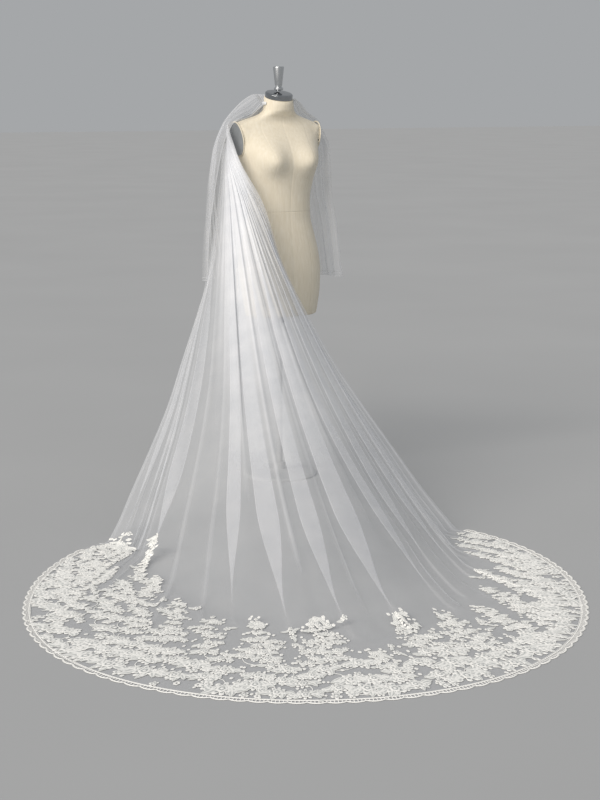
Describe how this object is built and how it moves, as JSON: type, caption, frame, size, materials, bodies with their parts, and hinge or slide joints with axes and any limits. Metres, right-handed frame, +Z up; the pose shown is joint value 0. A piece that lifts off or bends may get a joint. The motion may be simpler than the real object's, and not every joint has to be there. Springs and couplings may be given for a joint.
{
  "type": "bridal veil on a dress form",
  "caption": "Cathedral bridal veil of tulle with a short upper tier and a lace hem, draped over a limbless dress form on a round-based stand and fanned out on the floor.",
  "frame": {"origin": "centre of the underside of the stand's round base, on the floor", "axes": "+Z up, the form faces -Y, +X to the wearer's left; the long tier goes over the right shoulder (-X) and fans out towards -X and -Y"},
  "size_m": [1.8446, 2.5363, 1.6193],
  "materials": {
    "tulle": "sheer white bridal tulle",
    "lace": "soft white corded lace",
    "linen": "cream linen cover",
    "armhole_plate": "grey satin",
    "cap_chrome": "polished",
    "finial_aluminium": "satin",
    "stand_grey": "grey powder coat"
  },
  "bodies": {
    "root": {"gathered_header": "tulle", "short_tier": "tulle", "long_tier": "tulle", "lace_edging": "lace", "lace_spray_01": "lace", "lace_spray_02": "lace", "lace_spray_03": "lace", "lace_spray_04": "lace", "lace_spray_05": "lace", "lace_spray_06": "lace", "lace_spray_07": "lace", "lace_spray_08": "lace", "lace_spray_09": "lace", "lace_spray_10": "lace", "lace_spray_11": "lace", "lace_spray_12": "lace", "lace_spray_13": "lace", "form_torso": "linen", "armhole_plate_left": "armhole_plate", "armhole_plate_right": "armhole_plate", "neck_cap": "cap_chrome", "finial": "finial_aluminium", "stand_collar": "cap_chrome", "stand_pole": "stand_grey", "stand_base": "stand_grey"}
  },
  "joints": []
}
